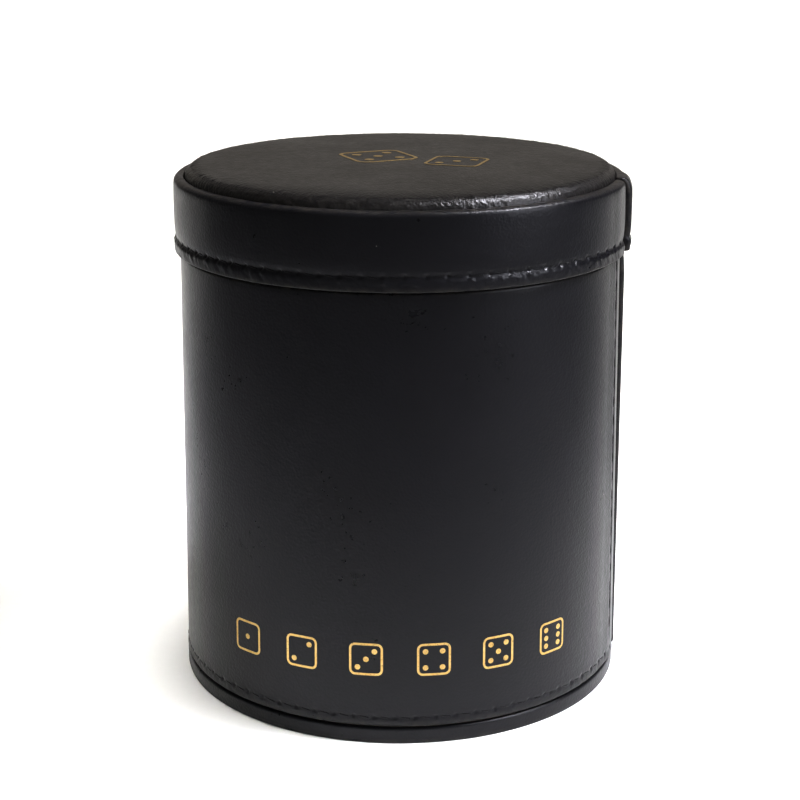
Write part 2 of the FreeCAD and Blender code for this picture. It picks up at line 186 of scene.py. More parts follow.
def add(tree: bpy.types.NodeTree, kind: str, settings: Optional[dict[str, Any]] = None,
        **sockets: Any) -> bpy.types.Node:
    """Adds a shader node with its settings, its values and its links.

    Args:
        tree: the material's node tree.
        kind: the node's type, without the word ShaderNode.
        settings: the node's own properties.
        sockets: input values or the outputs to link, by the socket's name with _ for a space,
            or by its number after in.

    Returns:
        The node.
    """
    made = tree.nodes.new("ShaderNode" + kind)
    for key, value in (settings or {}).items():
        setattr(made, key, value)
    for key, value in sockets.items():
        name = int(key[2:]) if key[:2] == "in" and key[2:].isdigit() else key.replace("_", " ")
        socket = made.inputs[name]
        if isinstance(value, bpy.types.NodeSocket):
            tree.links.new(value, socket)
        else:
            socket.default_value = value
    return made


def start_material(name: str) -> tuple[bpy.types.Material, bpy.types.NodeTree]:
    """Makes an empty node material.

    Args:
        name: the material's name.

    Returns:
        The material and its node tree.
    """
    material = bpy.data.materials.new(name)
    material.use_nodes = True
    material.node_tree.nodes.clear()
    return material, material.node_tree


class NodeFinish:
    """A finish that builds its node material once and finds it again after that."""

    name: str

    def material(self) -> bpy.types.Material:
        """Builds the material, or finds it if it was built before."""
        if self.name in bpy.data.materials:
            return bpy.data.materials[self.name]
        material, tree = start_material(self.name)
        surface = self.surface(tree)
        add(tree, "OutputMaterial", Surface=surface.outputs[0])
        return material

    def surface(self, tree: bpy.types.NodeTree) -> bpy.types.Node:
        """Builds the nodes up to the shader.

        Args:
            tree: the material's node tree.

        Returns:
            The shader node.
        """
        raise NotImplementedError


def per_metre(millimetres: float) -> float:
    """Gives the texture scale whose pattern repeats at about a length in millimetres."""
    return 1 / (millimetres * METRES_PER_MM)


@dataclass(frozen=True)
class CoatedLeather(NodeFinish):
    """Black polyurethane-coated leather, embossed with a fine grain and ironed smooth.

    The eye sees a near-black skin with a soft broad sheen, a faint pebble where light grazes
    it, slow cloudy changes of gloss, and edges rubbed a little paler and duller; the paler
    edge line is also a painted highlight.
    """

    name: str
    colour: str = "#121215"
    cloud: str = "#19191D"
    # paler colour for rubbed edges: real wear, and also a painted highlight line along the hem, rim and
    # seam edges
    rubbed_and_edge_highlight: str = "#34312D"
    roughness: float = 0.32
    gloss_change: float = 0.10
    grain: float = 0.55
    grain_height: float = 0.035
    reflection: float = 0.3
    lint: str = "#6E6C68"
    lint_spacing: float = 11.0
    lint_size: float = 0.014
    worn_roughness: float = 0.18

    def surface(self, tree: bpy.types.NodeTree) -> bpy.types.Node:
        """Builds the nodes up to the shader, as NodeFinish asks."""
        place = add(tree, "TexCoord").outputs["Object"]
        clouds = add(tree, "TexNoise", Vector=place, Scale=per_metre(16), Detail=3.0,
                     Roughness=0.55).outputs["Fac"]
        mottle = add(tree, "TexNoise", Vector=place, Scale=per_metre(1.6), Detail=4.0,
                     Roughness=0.6).outputs["Fac"]
        bend = add(tree, "TexNoise", Vector=place, Scale=per_metre(1.1), Detail=2.0).outputs["Color"]
        push = add(tree, "VectorMath", {"operation": "SCALE"}, in0=bend,
                   Scale=0.35 * METRES_PER_MM).outputs[0]
        bent = add(tree, "VectorMath", {"operation": "ADD"}, in0=place, in1=push).outputs[0]
        pebble = add(tree, "TexVoronoi", {"feature": "F1"}, Vector=bent,
                     Scale=per_metre(self.grain)).outputs["Distance"]
        pores = add(tree, "TexNoise", Vector=place, Scale=per_metre(0.25), Detail=2.0).outputs["Fac"]
        rub_and_highlight = add(tree, "Attribute", {"attribute_name": "rub_and_highlight"}).outputs["Fac"]
        patchy = add(tree, "MapRange", Value=mottle, From_Min=0.35, From_Max=0.7).outputs[0]
        worn = add(tree, "Math", {"operation": "MULTIPLY"}, in0=rub_and_highlight, in1=patchy).outputs[0]
        ground = add(tree, "Mix", {"data_type": "RGBA"}, in0=clouds, in6=linear(self.colour),
                     in7=linear(self.cloud)).outputs[2]
        # rubbed edges painted paler: wear, and a painted highlight line along them
        colour = add(tree, "Mix", {"data_type": "RGBA"}, in0=worn, in6=ground,
                     in7=linear(self.rubbed_and_edge_highlight)).outputs[2]
        # sparse specks of lint caught on the coating
        lint = add(tree, "TexVoronoi", {"feature": "F1"}, Vector=place,
                   Scale=per_metre(self.lint_spacing))
        speck = add(tree, "Math", {"operation": "LESS_THAN"}, in0=lint.outputs["Distance"],
                    in1=self.lint_size).outputs[0]
        colour = add(tree, "Mix", {"data_type": "RGBA"}, in0=speck, in6=colour,
                     in7=linear(self.lint)).outputs[2]
        gloss = add(tree, "Math", {"operation": "ADD"}, in0=clouds, in1=mottle).outputs[0]
        roughness = add(tree, "MapRange", Value=gloss, From_Min=0.7, From_Max=1.3,
                        To_Min=self.roughness - self.gloss_change / 2,
                        To_Max=self.roughness + self.gloss_change / 2).outputs[0]
        roughness = add(tree, "Math", {"operation": "MULTIPLY_ADD", "use_clamp": True},
                        in0=worn, in1=self.worn_roughness, in2=roughness).outputs[0]
        fine = add(tree, "Math", {"operation": "MULTIPLY_ADD"}, in0=pores, in1=0.25,
                   in2=pebble).outputs[0]
        height = add(tree, "Math", {"operation": "MULTIPLY_ADD"}, in0=mottle, in1=0.9,
                     in2=fine).outputs[0]
        normal = add(tree, "Bump", Strength=1.0, Distance=self.grain_height * METRES_PER_MM,
                     Height=height).outputs["Normal"]
        return add(tree, "BsdfPrincipled", Base_Color=colour, Roughness=roughness, IOR=1.48,
                   Specular_IOR_Level=self.reflection, Normal=normal)


@dataclass(frozen=True)
class WaxedThread(NodeFinish):
    """Black waxed polyester sewing thread, spun from three twisted plies.

    The eye sees a small slanted rib along each stitch with a dull waxy shine.
    """

    name: str = "black waxed polyester thread, twisted"
    colour: str = "#08080A"
    high: str = "#131316"
    ply: float = 0.45

    def surface(self, tree: bpy.types.NodeTree) -> bpy.types.Node:
        """Builds the nodes up to the shader, as NodeFinish asks."""
        lay = add(tree, "UVMap", {"uv_map": "lay"}).outputs[0]
        plies = add(tree, "TexWave", {"bands_direction": "DIAGONAL", "wave_profile": "SIN"},
                    Vector=lay, Scale=1 / self.ply, Distortion=0.4).outputs["Fac"]
        colour = add(tree, "Mix", {"data_type": "RGBA"}, in0=plies, in6=linear(self.colour),
                     in7=linear(self.high)).outputs[2]
        normal = add(tree, "Bump", Strength=0.9, Distance=0.06 * METRES_PER_MM,
                     Height=plies).outputs["Normal"]
        return add(tree, "BsdfPrincipled", Base_Color=colour, Roughness=0.5, IOR=1.5,
                   Specular_IOR_Level=0.25, Normal=normal)


@dataclass(frozen=True)
class GoldFoil(NodeFinish):
    """Gold foil, hot-stamped into the leather.

    The eye sees warm bright metal, finely crinkled by the grain under it, with pinholes and
    thin places where the foil did not take and the black shows through.
    """

    name: str = "gold foil, hot-stamped"
    bright: str = "#E9CE90"
    deep: str = "#BD9A55"
    bare: str = "#1B1712"

    def surface(self, tree: bpy.types.NodeTree) -> bpy.types.Node:
        """Builds the nodes up to the shader, as NodeFinish asks."""
        place = add(tree, "TexCoord").outputs["Object"]
        patches = add(tree, "TexNoise", Vector=place, Scale=per_metre(1.4), Detail=3.0).outputs["Fac"]
        flecks = add(tree, "TexNoise", Vector=place, Scale=per_metre(0.22), Detail=2.0,
                     Roughness=0.7).outputs["Fac"]
        gold = add(tree, "Mix", {"data_type": "RGBA"}, in0=patches, in6=linear(self.deep),
                   in7=linear(self.bright)).outputs[2]
        thin = add(tree, "MapRange", Value=flecks, From_Min=0.30, From_Max=0.42).outputs[0]
        colour = add(tree, "Mix", {"data_type": "RGBA"}, in0=thin, in6=linear(self.bare),
                     in7=gold).outputs[2]
        normal = add(tree, "Bump", Strength=1.0, Distance=0.015 * METRES_PER_MM,
                     Height=flecks).outputs["Normal"]
        return add(tree, "BsdfPrincipled", Base_Color=colour, Metallic=thin, Roughness=0.34,
                   Normal=normal)


@dataclass(frozen=True)
class MattFinish(NodeFinish):
    """A matt finish between two colours along one pattern, which also raises the surface.

    The relief is how high the pattern stands, in millimetres, and strength how much of it shows.
    """

    name: str
    colour: str
    high: str
    relief: float
    strength: float
    roughness: float
    ior: float = 1.45
    sheen: float = 0.0
    sheen_roughness: float = 0.5
    sheen_tint: str = "#FFFFFF"

    def pattern(self, tree: bpy.types.NodeTree) -> SocketPair:
        """Builds the pattern.

        Args:
            tree: the material's node tree.

        Returns:
            The share of the second colour, and the height.
        """
        raise NotImplementedError

    def surface(self, tree: bpy.types.NodeTree) -> bpy.types.Node:
        """Builds the nodes up to the shader, as NodeFinish asks."""
        share, height = self.pattern(tree)
        colour = add(tree, "Mix", {"data_type": "RGBA"}, in0=share, in6=linear(self.colour),
                     in7=linear(self.high)).outputs[2]
        normal = add(tree, "Bump", Strength=self.strength, Distance=self.relief * METRES_PER_MM,
                     Height=height).outputs["Normal"]
        return add(tree, "BsdfPrincipled", Base_Color=colour, Roughness=self.roughness,
                   IOR=self.ior, Sheen_Weight=self.sheen, Sheen_Roughness=self.sheen_roughness,
                   Sheen_Tint=linear(self.sheen_tint), Normal=normal)


@dataclass(frozen=True)
class Flannel(MattFinish):
    """Brushed cotton flannel, dyed deep red.

    The eye sees a matt cloth with a pale bloom at grazing angles and a fine uneven nap.
    """

    name: str = "brushed cotton flannel"
    colour: str = "#4A0F18"
    high: str = "#6B1D28"
    relief: float = 0.12
    strength: float = 0.8
    roughness: float = 0.95
    sheen: float = 0.5
    sheen_roughness: float = 0.4
    sheen_tint: str = "#C46A74"

    def pattern(self, tree: bpy.types.NodeTree) -> SocketPair:
        """Builds the nap: fine fibres, brushed one way or the other in broad patches."""
        place = add(tree, "TexCoord").outputs["Object"]
        fibres = add(tree, "TexNoise", Vector=place, Scale=per_metre(0.5), Detail=5.0,
                     Roughness=0.7).outputs["Fac"]
        brushed = add(tree, "TexNoise", Vector=place, Scale=per_metre(9), Detail=2.0).outputs["Fac"]
        both = add(tree, "Math", {"operation": "MULTIPLY"}, in0=fibres, in1=brushed).outputs[0]
        share = add(tree, "MapRange", Value=both, From_Min=0.12, From_Max=0.4).outputs[0]
        return share, fibres


@dataclass(frozen=True)
class GreyBoard(MattFinish):
    """Grey bookbinder's board, pressed from recycled paper.

    The eye sees a matt grey-brown sheet with short darker and paler fibres.
    """

    name: str = "grey bookbinder's board, pressed"
    colour: str = "#8C877D"
    high: str = "#6E6960"
    relief: float = 0.05
    strength: float = 0.5
    roughness: float = 0.9

    def pattern(self, tree: bpy.types.NodeTree) -> SocketPair:
        """Builds the pressed paper fibres."""
        place = add(tree, "TexCoord").outputs["Object"]
        fibres = add(tree, "TexNoise", Vector=place, Scale=per_metre(0.8), Detail=6.0,
                     Roughness=0.75).outputs["Fac"]
        share = add(tree, "MapRange", Value=fibres, From_Min=0.4, From_Max=0.65).outputs[0]
        return share, fibres


@dataclass(frozen=True)
class BackingCloth(MattFinish):
    """Black book cloth, plain-woven and glued behind a seam.

    The eye sees a dull black strip with a fine square weave.
    """

    name: str = "black book cloth, plain-woven"
    colour: str = "#0F0F10"
    high: str = "#222224"
    relief: float = 0.08
    strength: float = 0.6
    roughness: float = 0.85
    sheen: float = 0.1
    yarn: float = 0.4

    def pattern(self, tree: bpy.types.NodeTree) -> SocketPair:
        """Builds the weave, which is high where weft and warp both are."""
        place = add(tree, "TexCoord").outputs["Object"]
        weft, warp = [add(tree, "TexWave", {"bands_direction": way}, Vector=place,
                          Scale=per_metre(self.yarn) / 20).outputs["Fac"] for way in ("Z", "Y")]
        weave = add(tree, "Math", {"operation": "MULTIPLY"}, in0=weft, in1=warp).outputs[0]
        return weave, weave


@dataclass(frozen=True)
class SoftFoam(MattFinish):
    """Cream polyurethane foam, open-celled and cut from a sheet.

    The eye sees a pale matt sponge with small round cells.
    """

    name: str = "polyurethane foam, open-celled"
    # the darker colour is painted shade in the cells' deep middles
    colour: str = "#A99C7C"
    high: str = "#D8CFB4"
    relief: float = 0.2
    strength: float = 0.8
    roughness: float = 0.95
    ior: float = 1.4

    def pattern(self, tree: bpy.types.NodeTree) -> SocketPair:
        """Builds the cells, which are deep in the middle, with painted shade darkening their hollows.
        """
        place = add(tree, "TexCoord").outputs["Object"]
        cell_depth_and_shade = add(tree, "TexVoronoi", Vector=place, Scale=per_metre(0.7)).outputs["Distance"]
        return cell_depth_and_shade, cell_depth_and_shade


class Finish(Enum):
    """The finishes that the pieces choose from."""

    SIDE_LEATHER = CoatedLeather("black coated leather, ironed smooth")
    PAD_LEATHER = CoatedLeather("black coated leather, soft and stretched", cloud="#171513",
                                reflection=0.5, roughness=0.33, grain_height=0.07)
    THREAD = WaxedThread()
    FOIL = GoldFoil()
    FLANNEL = Flannel()
    BOARD = GreyBoard()
    BACKING = BackingCloth()
    FOAM = SoftFoam()


# ------------------------------------------------------------------ making pieces

class Body(Enum):
    """The two bodies that come apart."""

    CUP = "cup"
    LID = "lid"


def make_piece(name: str, mesh: bmesh.types.BMesh, finish: Finish, body: Body,
               replaced: tuple[str, ...],
               smooth_angle: float = 50.0) -> bpy.types.Object:
    """Turns a mesh in millimetres into a finished piece in metres that rides on its body.

    Args:
        name: the piece's name.
        mesh: the mesh, which is used up.
        finish: the piece's finish.
        body: the body that it moves with.
        replaced: the nodes that it stands for.
        smooth_angle: edges sharper than this stay sharp.

    Returns:
        The piece.
    """
    bmesh.ops.scale(mesh, vec=(METRES_PER_MM,) * 3, verts=mesh.verts)
    data = bpy.data.meshes.new(name)
    mesh.to_mesh(data)
    mesh.free()
    data.shade_smooth()
    data.set_sharp_from_angle(angle=math.radians(smooth_angle))
    data.materials.append(finish.value.material())
    piece = bpy.data.objects.new(name, data)
    bpy.context.scene.collection.objects.link(piece)
    if replaced:
        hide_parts(*replaced)
    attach(piece, body.value)
    LOG.info("%s: %d faces, rides on %s", name, len(data.polygons), body.value)
    return piece


def mark_rub_and_highlight(mesh: bmesh.types.BMesh, share: Callable[[float, float, float], float]) -> None:
    """Marks how rubbed each part of a leather piece is, for its material, which paints it paler: wear,
    and a painted highlight line along the edges.

    Args:
        mesh: the leather's mesh.
        share: takes (radius, angle, height) and returns 0 for fresh to 1 for rubbed, which is painted
            paler as wear and as an edge highlight.
    """
    layer = mesh.verts.layers.float.new("rub_and_highlight")
    for vertex in mesh.verts:
        radius = math.hypot(vertex.co.x, vertex.co.y)
        angle = math.degrees(math.atan2(vertex.co.y, vertex.co.x))
        vertex[layer] = share(radius, angle, vertex.co.z)


def dress_node(name: str, finish: Finish) -> None:
    """Gives a carried-over node its finish."""
    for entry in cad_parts[name].material_slots:
        entry.material = finish.value.material()
    LOG.info("%s: kept, dressed as %s", name, finish.value.name)


# ------------------------------------------------------------------ seams and stitches

@dataclass(frozen=True)
class UprightSeam:
    """An upright seam where the two folded ends of a leather sheet meet edge to edge.

    Near and far are the angles of the two edges, and each rise is how far the strip along an edge
    stands off the plain round. The far strip rises less within brow of the top and of the foot,
    by the shares given.
    """

    near: float
    far: float
    near_rise: float
    far_rise_foot: float
    far_rise_top: float
    foot: float
    top: float
    strip: float = 6.3
    near_roll: float = 0.6
    far_roll: float = 1.1
    brow: float = 2.6
    top_share: float = 0.5
    foot_share: float = 0.8

    def sweep(self) -> float:
        """Gives the angle that the sheet covers, from the far edge round to the near edge."""
        return 360 + self.near - self.far

    def distances(self, angle: float, radius: float) -> tuple[float, float]:
        """Measures along the leather from both edges.

        Args:
            angle: the angle of the point.
            radius: its radius.

        Returns:
            The distance from the near edge and from the far edge.
        """
        from_far = (angle - self.far) % 360
        if from_far > 359.99:
            from_far = 0.0
        from_near = self.sweep() - from_far
        return math.radians(from_near) * radius, math.radians(from_far) * radius

    def gathered(self, angle: float, radius: float, reach: float = 3.0) -> float:
        """Moves the columns of a mesh towards the edges, so that their roll is smooth.

        Args:
            angle: the angle of a column.
            radius: the sheet's radius.
            reach: how far from an edge columns are moved.

        Returns:
            The column's new angle.
        """
        near, far = self.distances(angle, radius)
        for distance, edge, side in ((near, self.near, -1), (far, self.far, 1)):
            if distance < reach:
                moved = reach * (max(distance, 0.0) / reach) ** 1.7
                return edge + side * math.degrees(moved / radius)
        return angle

    def lift(self, angle: float, radius: float, height: float) -> float:
        """Gives how far the outer surface stands off its plain round.

        Args:
            angle: the angle of the point.
            radius: its radius.
            height: its height.

        Returns:
            The distance outwards, below zero where the edge rolls in.
        """
        near, far = self.distances(angle, radius)
        share = min(max((height - self.foot) / (self.top - self.foot), 0.0), 1.0)
        far_rise = self.far_rise_foot + (self.far_rise_top - self.far_rise_foot) * share
        far_rise *= 1 - (1 - self.top_share) * ramp(height, self.top - self.brow, self.top)
        near_foot = 1 - ramp(height, self.foot, self.foot + self.brow)
        far_rise *= 1 - (1 - self.foot_share) * near_foot
        lift = 0.0
        ends = ((near, self.near_rise, self.near_roll), (far, far_rise, self.far_roll))
        for distance, rise, roll in ends:
            if distance < self.strip * 2:
                lift += rise * (1 - ramp(distance, self.strip * 0.8, self.strip * 1.6))
            if distance < roll:
                lift -= roll - math.sqrt(max(roll ** 2 - (roll - distance) ** 2, 0.0))
        return lift


@dataclass(frozen=True)
class StitchRow:
    """A row of lockstitches round a hem, and its pull on the leather.

    Each hole is pressed in, with a pucker beside it, a crease along the row, and a swell between
    holes that stands bead_below under the row.
    """

    height: float
    radius: float
    seam: UprightSeam
    pitch: float = 4.0
    hole: float = 0.30
    pucker: float = 0.10
    crease: float = 0.08
    swell: float = 0.06
    bead_below: float = 1.35

    def count(self) -> int:
        """Gives how many stitches fit round the row."""
        return round(math.radians(self.seam.sweep()) * self.radius / self.pitch)

    def pitch_angle(self) -> float:
        """Gives the angle from hole to hole."""
        return self.seam.sweep() / self.count()

    def beyond_hole(self, angle: float) -> float:
        """Gives how far a point is along the row from the nearest needle hole."""
        turns = ((angle - self.seam.far) % 360) / self.pitch_angle()
        return (turns - round(turns)) * self.pitch_angle() * math.radians(1) * self.radius

    def pull(self, angle: float, height: float) -> float:
        """Gives how far the stitches move the leather.

        Args:
            angle: the angle of a point on the leather.
            height: its height.

        Returns:
            The distance outwards, below zero where the leather is pulled in.
        """
        along = self.beyond_hole(angle)
        above = height - self.height
        if abs(above) > 4:
            return 0.0
        hole = -self.hole * bell(along, 0.42) * bell(above - 0.12, 0.36)
        pucker = self.pucker * bell(along - 0.3, 0.55) * bell(above + 0.62, 0.42)
        between = 0.5 - math.cos(2 * math.pi * along / self.pitch) * 0.5
        swell = self.swell * between * bell(above + self.bead_below, 0.9)
        return hole + pucker + swell - self.crease * bell(above, 0.38)

    def wrinkle(self, angle: float, height: float, size: float, reach: float) -> float:
        """Gives the fine slanting creases that the sewing draws into the hem.

        Args:
            angle: the angle of a point on the leather.
            height: its height.
            size: how high the creases are.
            reach: how far below the row they go.

        Returns:
            The distance outwards.
        """
        below = self.height - height
        along = math.radians(angle) * self.radius
        strength = ramp(below, -0.2, 0.5) * (1 - ramp(below, reach * 0.7, reach))
        fine = ripple(along + height * 0.9, height * 0.45, 3.1, 0.6)
        broad = ripple(along + height * 0.7, height * 0.5, 9.7, 1.9)
        return size * strength * (0.55 * fine + 0.8 * broad)


def stitch_template(length: float, thread: float) -> bpy.types.Mesh:
    """Makes one stitch along X, bowed out towards +Y, with both ends diving in.

    Args:
        length: from hole to hole.
        thread: the thread's diameter.

    Returns:
        The mesh, with a UV map called lay along and round the thread.
    """
    mesh = bmesh.new()
    bmesh.ops.create_cone(mesh, cap_ends=True, segments=7, radius1=thread / 2, radius2=thread / 2,
                          depth=length, matrix=Matrix.Rotation(math.radians(90), 4, "Y"))
    long_edges = [edge for edge in mesh.edges
                  if abs(edge.verts[0].co.x - edge.verts[1].co.x) > length / 2]
    bmesh.ops.subdivide_edges(mesh, edges=long_edges, cuts=5)
    layer = mesh.loops.layers.uv.new("lay")
    for face in mesh.faces:
        for loop in face.loops:
            spot = loop.vert.co
            loop[layer].uv = (spot.x, math.atan2(spot.z, spot.y) * thread / 2)
    for vertex in mesh.verts:
        share = 2 * vertex.co.x / length
        thin = 1 - 0.35 * abs(share) ** 3
        vertex.co.y = vertex.co.y * thin + 0.02 - 0.45 * abs(share) ** 3
        vertex.co.z *= thin
    bmesh.ops.recalc_face_normals(mesh, faces=mesh.faces)
    data = bpy.data.meshes.new("stitch_template")
    mesh.to_mesh(data)
    mesh.free()
    return data


@dataclass
class Sewing:
    """Lays stitches in a row and makes the row one piece."""

    name: str
    node: str
    body: Body
    length: float
    thread: float = 0.38

    def lay(self, places: list[Matrix]) -> bpy.types.Object:
        """Copies the stitch to every place.

        Args:
            places: where each stitch goes, X along the row and Y outwards.

        Returns:
            The piece.
        """
        pattern = stitch_template(self.length, self.thread)
        row = bmesh.new()
        for place in places:
            before = len(row.verts)
            row.from_mesh(pattern)
            row.verts.ensure_lookup_table()
            bmesh.ops.transform(row, matrix=place, verts=row.verts[before:])
        bpy.data.meshes.remove(pattern)
        return make_piece(self.name, row, Finish.THREAD, self.body, (self.node,))


def hem_places(row: StitchRow, sunk: float = 0.12, slant: float = -8.0) -> list[Matrix]:
    """Places the stitches of a hem row, one from each hole to the next.

    Args:
        row: the row.
        sunk: how deep the thread lies under the leather's surface.
        slant: how far each stitch leans, in degrees.

    Returns:
        One matrix for each stitch.
    """
    places = []
    for index in range(row.count()):
        angle = row.seam.far + row.pitch_angle() * (index + 0.5)
        lean = slant + 3 * noise.noise(Vector((index * 1.7, 0.3, row.height)))
        out = Matrix.Rotation(math.radians(angle - 90), 4, "Z")
        tilt = Matrix.Rotation(math.radians(lean), 4, "Y")
        centre = Matrix.Translation((0, row.radius - sunk, row.height))
        places.append(out @ centre @ tilt)
    return places


# ------------------------------------------------------------------ the cup

@dataclass
class CupSide:
    """The side leather with its hem, its upright seam and its turned-in shoulder."""

    shoulder_radius: float = 44.85
    foot_radius: float = 45.6
    hem_radius: float = 45.66
    hem_stitch: float = 5.4
    dip: float = 0.08
    leather: float = 1.0
    steps: int = 1152
    wall_rows: int = 26
    upright_inset: float = 5.0
    wrinkle: float = 0.07
    wrinkle_reach: float = 1.9
    wave: float = 0.05
    wave_size: float = 17.0
    fine_wave: float = 0.016
    fine_wave_size: float = 5.0

    def __post_init__(self) -> None:
        """Takes the heights from the frame and sets out the seam and the hem row."""
        low, high = box_mm("cup_outer_wrap")
        self.hem_bottom, self.shoulder = low.z, high.z
        self.seam = UprightSeam(near=-10.7, far=-8.3, near_rise=0.25, far_rise_foot=0.45,
                                far_rise_top=1.15, foot=self.hem_bottom, top=self.shoulder)
        self.row = StitchRow(self.hem_stitch, self.hem_radius - self.dip, self.seam,
                             hole=0.24, pucker=0.07, crease=0.05, swell=0.03)

    def wall(self, height: float) -> float:
        """Gives the radius of the plain wall at a height."""
        share = (self.shoulder - height) / self.shoulder
        return self.shoulder_radius + (self.foot_radius - self.shoulder_radius) * share

    def outline(self) -> Outline:
        """Draws the sheet's section: hem bead, stitch dip, wall, shoulder and inner face."""
        bead, turn_in = 0.4, 0.6
        bottom = arc((self.hem_radius - bead, self.hem_bottom + bead), bead, -90, 0, 6)
        points = bottom
        valley = self.hem_radius - self.dip
        start = self.hem_bottom + bead
        for height in spread(start + 0.25, self.hem_stitch, 5):
            share = ramp(height, start, self.hem_stitch)
            points.append((self.hem_radius - self.dip * share, height))
        for height in spread(self.hem_stitch + 0.2, self.hem_stitch + 1.6, 7):
            share = ramp(height, self.hem_stitch, self.hem_stitch + 1.6)
            points.append((valley + (self.wall(height) - valley) * share, height))
        points += [(self.wall(z), z)
                   for z in spread(self.hem_stitch + 2.6, self.shoulder - 1.6, self.wall_rows)]
        crown = (self.wall(self.shoulder) - turn_in, self.shoulder - turn_in)
        points += arc(crown, turn_in, 0, 90, 5)
        bore = box_mm("core_tube")[1]
        tube_top = bore.z + 0.05
        inner_top = self.shoulder_radius - self.leather
        points += [(42.1, self.shoulder), (42.1, tube_top), (inner_top, tube_top)]
        points += [(self.wall(z) - self.leather, z) for z in spread(tube_top - 20, self.hem_bottom, 4)]
        return points

    def pull_upright(self, angle: float, radius: float, height: float) -> float:
        """Gives how far the upright stitch rows pull the leather in."""
        if height < self.hem_stitch + 2.2:
            return 0.0
        pull = 0.0
        for distance in self.seam.distances(angle, radius):
            across = distance - self.upright_inset
            if abs(across) > 3:
                continue
            turns = (height - self.hem_stitch) / self.row.pitch
            along = (turns - round(turns)) * self.row.pitch
            pull -= 0.16 * bell(across, 0.5)
            pull -= 0.28 * bell(across, 0.42) * bell(along, 0.55)
            pull += 0.05 * bell(abs(across) - 1.2, 0.7)
        return pull

    def shape(self, radius: float, angle: float, height: float) -> tuple[float, float, float]:
        """Shapes one point of the sheet: seam, stitches, creases and soft unevenness."""
        angle = self.seam.gathered(angle, self.foot_radius)
        inner = self.wall(height) - self.leather
        weight = ramp(radius, inner + 0.05, inner + 0.45)
        if weight == 0:
            return radius, angle, height
        turn = math.radians(angle)
        x, y = radius * math.cos(turn), radius * math.sin(turn)
        lift = self.seam.lift(angle, radius, height)
        lift += self.row.pull(angle, height)
        lift += self.row.wrinkle(angle, height, self.wrinkle, self.wrinkle_reach)
        lift += self.pull_upright(angle, radius, height)
        middle = ramp(height, self.hem_stitch, self.hem_stitch + 6)
        lift += self.wave * middle * ripple(x, y, height * 0.6, self.wave_size)
        lift += self.fine_wave * middle * ripple(x, y, height, self.fine_wave_size)
        return radius + weight * lift, angle, height

    def rubbed_and_edge_highlight(self, radius: float, angle: float, height: float) -> float:
        """Gives how rubbed the leather is, painted paler as wear and as a highlight line: along the
        hem, the shoulder and the seam's edges.
        """
        near, far = self.seam.distances(angle, radius)
        hem = 1 - ramp(height, self.hem_bottom + 0.2, self.hem_bottom + 1.4)
        edge = 1 - ramp(min(near, far), 0.2, 1.1)
        top = ramp(height, self.shoulder - 0.8, self.shoulder)
        return max(hem * 0.8, edge, top)

    def make_sheet(self) -> bpy.types.Object:
        """Builds the side leather."""
        mesh = turned(self.outline(), self.steps, self.seam.far, self.seam.sweep())
        shape_polar(mesh, self.shape)
        mark_rub_and_highlight(mesh, self.rubbed_and_edge_highlight)
        bmesh.ops.recalc_face_normals(mesh, faces=mesh.faces)
        return make_piece("side_leather", mesh, Finish.SIDE_LEATHER, Body.CUP,
                          ("cup_outer_wrap",))

    def make_hem_stitches(self) -> bpy.types.Object:
        """Builds the stitches round the foot."""
        sewing = Sewing("foot_hem_stitches", "cup_hem_thread", Body.CUP, self.row.pitch - 0.5)
        return sewing.lay(hem_places(self.row))

    def make_upright_stitches(self) -> None:
        """Builds the two upright rows beside the seam."""
        count = int((self.shoulder - self.hem_stitch - 3) / self.row.pitch)
        rows = (("seam_stitches_front", "cup_seam_thread_front", self.seam.near, -1),
                ("seam_stitches_rear", "cup_seam_thread_rear", self.seam.far, 1))
        for name, node, edge, side in rows:
            places = []
            for index in range(1, count + 1):
                height = self.hem_stitch + (index + 0.5) * self.row.pitch
                angle = edge + side * math.degrees(self.upright_inset / self.wall(height))
                radius = self.wall(height) + self.seam.lift(angle, self.wall(height), height) - 0.1
                out = Matrix.Rotation(math.radians(angle - 90), 4, "Z")
                centre = Matrix.Translation((0, radius, height))
                tilt = Matrix.Rotation(math.radians(83), 4, "Y")
                places.append(out @ centre @ tilt)
            Sewing(name, node, Body.CUP, self.row.pitch - 0.5).lay(places)

    def build(self) -> None:
        """Makes every piece of the cup's side."""
        self.make_sheet()
        self.make_hem_stitches()
        self.make_upright_stitches()


@dataclass
class BaseDisc:
    """The board disc in its leather, which the cup stands on."""

    edge: float = 0.35
    leather: float = 0.9
    steps: int = 360

    def build(self) -> bpy.types.Object:
        """Makes the leather of the base disc."""
        high = box_mm("base_cover")[1]
        radius, top = high.x, high.z
        outline = [(0.0, 0.0), (30.0, 0.0)]
        outline += arc((radius - self.edge, self.edge), self.edge, -90, 0, 6)
        outline += [(radius, z) for z in spread(1.0, top - 0.9, 3)]
        outline += arc((radius - 0.5, top - 0.5), 0.5, 0, 90, 6)
        inner = radius - self.leather
        outline += [(inner, top), (inner, self.leather), (30.0, self.leather), (0.0, self.leather)]

        def shape(r: float, angle: float, z: float) -> tuple[float, float, float]:
            """Lets the band swell and dip a little as glued leather does."""
            weight = ramp(r, inner + 0.1, radius) * ramp(z, 0.0, 0.5)
            along = math.radians(angle) * radius
            lift = 0.07 * ripple(along, z, 5.0, 9) + 0.03 * ripple(along, z, 2.0, 2.5)
            return r + weight * lift, angle, z

        mesh = turned(outline, self.steps)
        shape_polar(mesh, shape)
        # the bottom edge is painted paler: wear, and a painted highlight line
        mark_rub_and_highlight(mesh, lambda r, angle, z: 1 - ramp(abs(z - 0.1), 0.2, 0.9) if r > radius - 1 else 0.0)
        return make_piece("base_leather", mesh, Finish.SIDE_LEATHER, Body.CUP,
                          ("base_cover",))


